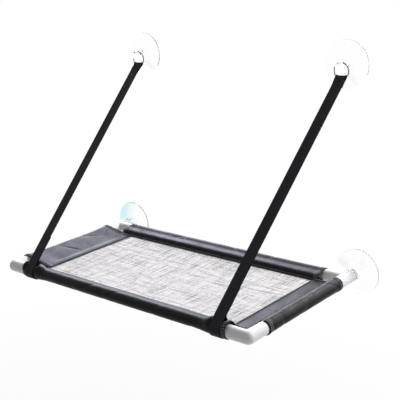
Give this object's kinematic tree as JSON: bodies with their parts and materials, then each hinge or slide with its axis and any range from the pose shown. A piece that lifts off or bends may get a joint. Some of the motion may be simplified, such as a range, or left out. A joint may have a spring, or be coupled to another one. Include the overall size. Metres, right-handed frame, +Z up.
{
  "type": "cat window hammock",
  "caption": "Cat bed for a window: a flat tube frame with a stretched mesh cover, hung on straps and suction cups.",
  "frame": {"origin": "on the window pane, midway between the two lower suction cups and level with the tubes' centre lines", "axes": "+X along the window towards the right-hand end, +Y into the pane, +Z up"},
  "size_m": [0.75, 0.3992, 0.5306],
  "materials": {
    "white_plastic": "smooth moulded",
    "black_cloth": "coated plain weave",
    "pale_weave": "open coated weave",
    "black_webbing": "ribbed webbing",
    "plated_steel": "bright plate",
    "clear_vinyl": "clear moulded"
  },
  "bodies": {
    "bed": {"front_tube": "white_plastic", "rear_tube": "white_plastic", "left_tube": "white_plastic", "right_tube": "white_plastic", "front_left_elbow": "white_plastic", "front_right_elbow": "white_plastic", "rear_left_tee": "white_plastic", "rear_right_tee": "white_plastic", "front_sleeve": "black_cloth", "rear_sleeve": "black_cloth", "left_sleeve": "black_cloth", "right_sleeve": "black_cloth", "mesh_panel": "pale_weave", "lower_left_cup": "clear_vinyl", "lower_right_cup": "clear_vinyl"},
    "left_strap": {"left_strap": "black_webbing"},
    "left_ring": {"left_ring": "plated_steel"},
    "upper_left_cup": {"upper_left_cup": "clear_vinyl"},
    "right_strap": {"right_strap": "black_webbing"},
    "right_ring": {"right_ring": "plated_steel"},
    "upper_right_cup": {"upper_right_cup": "clear_vinyl"}
  },
  "joints": [
    {"name": "left_strap_swing", "type": "hinge", "parent": "bed", "child": "left_strap", "pos_m": [-0.26, -0.383, 0], "axis": [1, 0, 0], "range_deg": [0, 220]},
    {"name": "left_ring_turn", "type": "hinge", "parent": "left_strap", "child": "left_ring", "pos_m": [-0.253, -0.021, 0.4213], "axis": [0, 1, 0], "continuous": true},
    {"name": "upper_left_cup_turn", "type": "hinge", "parent": "left_strap", "child": "upper_left_cup", "pos_m": [-0.253, -0.021, 0.4306], "axis": [0, 1, 0], "continuous": true},
    {"name": "right_strap_swing", "type": "hinge", "parent": "bed", "child": "right_strap", "pos_m": [0.26, -0.383, 0], "axis": [1, 0, 0], "range_deg": [0, 220]},
    {"name": "right_ring_turn", "type": "hinge", "parent": "right_strap", "child": "right_ring", "pos_m": [0.297, -0.021, 0.4213], "axis": [0, 1, 0], "continuous": true},
    {"name": "upper_right_cup_turn", "type": "hinge", "parent": "right_strap", "child": "upper_right_cup", "pos_m": [0.297, -0.021, 0.4306], "axis": [0, 1, 0], "continuous": true}
  ]
}
